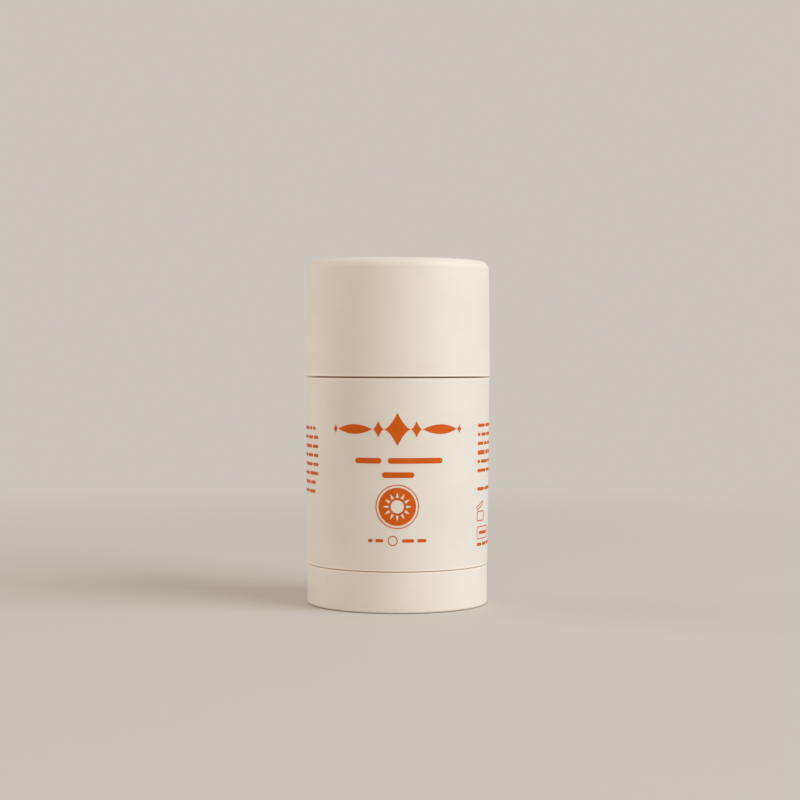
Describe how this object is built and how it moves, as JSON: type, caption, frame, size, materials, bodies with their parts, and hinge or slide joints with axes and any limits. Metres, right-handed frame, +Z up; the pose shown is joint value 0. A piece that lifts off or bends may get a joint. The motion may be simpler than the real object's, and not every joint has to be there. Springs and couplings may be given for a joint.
{
  "type": "sunscreen stick",
  "caption": "Round twist-up sunscreen stick: slip-on cap over a sealed dome of solid product, sleeve round an inner barrel, and a dial that turns a screw to raise the product.",
  "frame": {"origin": "centre of the standing ring under the dial, on the surface that the stick stands on", "axes": "+Z up along the stick's axis from dial to cap, -Y towards the side that carries the print's middle, +X to its right"},
  "size_m": [0.036, 0.036, 0.0665],
  "materials": {
    "cream_shell": "soft matte moulded plastic, warm cream",
    "print": "screen-printed orange ink, satin",
    "ivory_inner": "natural polypropylene, satin",
    "pale_fittings": "acetal, satin",
    "seal_film": "milky polyethylene",
    "product": "solid waxy sunscreen, soft sheen",
    "silicone": "translucent silicone"
  },
  "bodies": {
    "barrel": {"inner_barrel": "ivory_inner", "body_sleeve": "cream_shell", "drag_ring": "silicone"},
    "dial": {"dial_shell": "cream_shell", "dial_core": "pale_fittings", "spindle": "pale_fittings", "spindle_o_ring": "silicone"},
    "carrier": {"elevator": "ivory_inner", "sunscreen_bullet": "product"},
    "seal": {"seal_dome": "seal_film"},
    "cap": {"cap_shell": "cream_shell", "cap_liner": "ivory_inner", "cap_gasket": "silicone"}
  },
  "joints": [
    {"name": "dial_turn", "type": "hinge", "parent": "barrel", "child": "dial", "pos_m": [0, 0, 0], "axis": [0, 0, 1], "range_deg": [0, 3600]},
    {"name": "product_rise", "type": "slide", "parent": "barrel", "child": "carrier", "axis": [0, 0, 1], "range_m": [0, 0.04]},
    {"name": "seal_pull", "type": "slide", "parent": "carrier", "child": "seal", "axis": [0, 0, 1], "range_m": [0, 0.012]},
    {"name": "cap_pull", "type": "slide", "parent": "seal", "child": "cap", "axis": [0, 0, 1], "range_m": [0, 0.03]}
  ],
  "couplings": [
    {"joint": "dial_turn", "follows": "product_rise", "rad_per_m": 1570.8}
  ]
}
